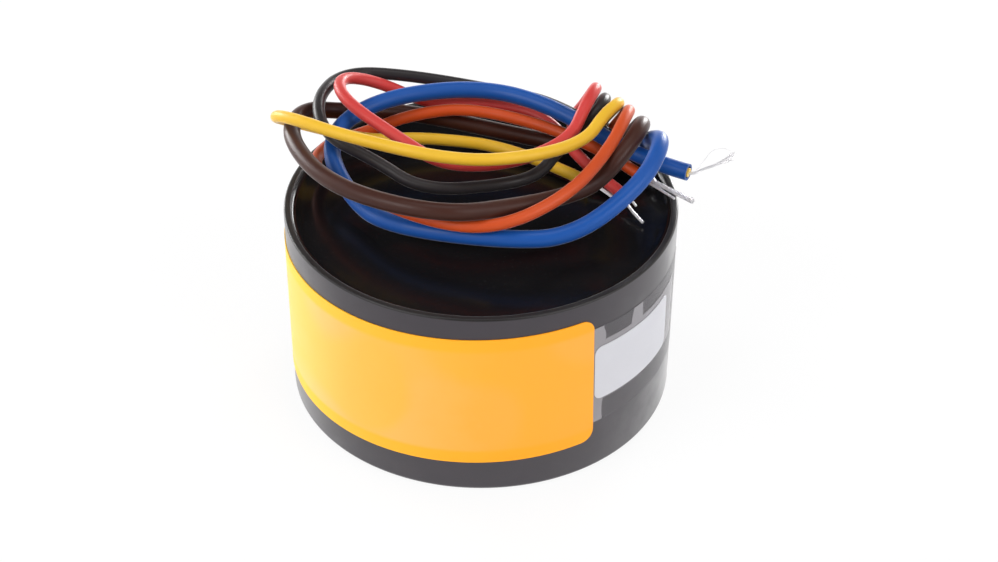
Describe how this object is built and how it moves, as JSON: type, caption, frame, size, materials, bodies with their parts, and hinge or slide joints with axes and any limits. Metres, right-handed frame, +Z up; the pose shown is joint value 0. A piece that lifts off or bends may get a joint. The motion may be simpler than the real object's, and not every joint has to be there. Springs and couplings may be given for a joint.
{
  "type": "toroidal transformer",
  "caption": "Potted toroidal transformer in a round plastic cup with a threaded insert in its base and coloured flying leads looped above the resin.",
  "frame": {"origin": "centre of the cup's underside, at the mouth of the threaded insert", "axes": "+Z up along the cup's axis, -Y towards the middle-left of the label, +X towards the side where the lead ends lie"},
  "size_m": [0.0905, 0.0762, 0.0585],
  "materials": {
    "cup_plastic": "moulded, fine grain",
    "cast_resin": "cast, mirror smooth",
    "insert_brass": "turned",
    "pressboard": "pressed",
    "core_steel": "wound strip",
    "cap_plastic": "moulded",
    "enamelled_copper": "enamelled round wire",
    "polyester_tape": "wrapped film",
    "label_orange": "printed, semi-gloss",
    "clear_film": "clear film",
    "patch_white": "semi-gloss",
    "sleeve_yellow": "extruded",
    "tinned_copper": "tinned",
    "insulation_blue": "extruded",
    "insulation_brown": "extruded",
    "insulation_red": "extruded",
    "insulation_black": "extruded",
    "insulation_yellow": "extruded",
    "insulation_orange": "extruded"
  },
  "bodies": {
    "root": {"bare_wire_black": "tinned_copper", "bare_wire_blue": "tinned_copper", "bare_wire_brown": "tinned_copper", "bare_wire_orange": "tinned_copper", "bare_wire_red": "tinned_copper", "bare_wire_yellow": "tinned_copper", "base_pad": "pressboard", "blank_patch": "patch_white", "case": "cup_plastic", "clear_film": "clear_film", "core_cap_lower": "cap_plastic", "core_cap_upper": "cap_plastic", "inner_sleeve_blue": "sleeve_yellow", "interwinding_tape": "polyester_tape", "lead_black": "insulation_black", "lead_blue": "insulation_blue", "lead_brown": "insulation_brown", "lead_orange": "insulation_orange", "lead_red": "insulation_red", "lead_yellow": "insulation_yellow", "mounting_insert": "insert_brass", "outer_tape": "polyester_tape", "potting_resin": "cast_resin", "primary_winding": "enamelled_copper", "rating_label": "label_orange", "secondary_winding_a": "enamelled_copper", "secondary_winding_b": "enamelled_copper", "toroidal_core": "core_steel"}
  },
  "joints": []
}
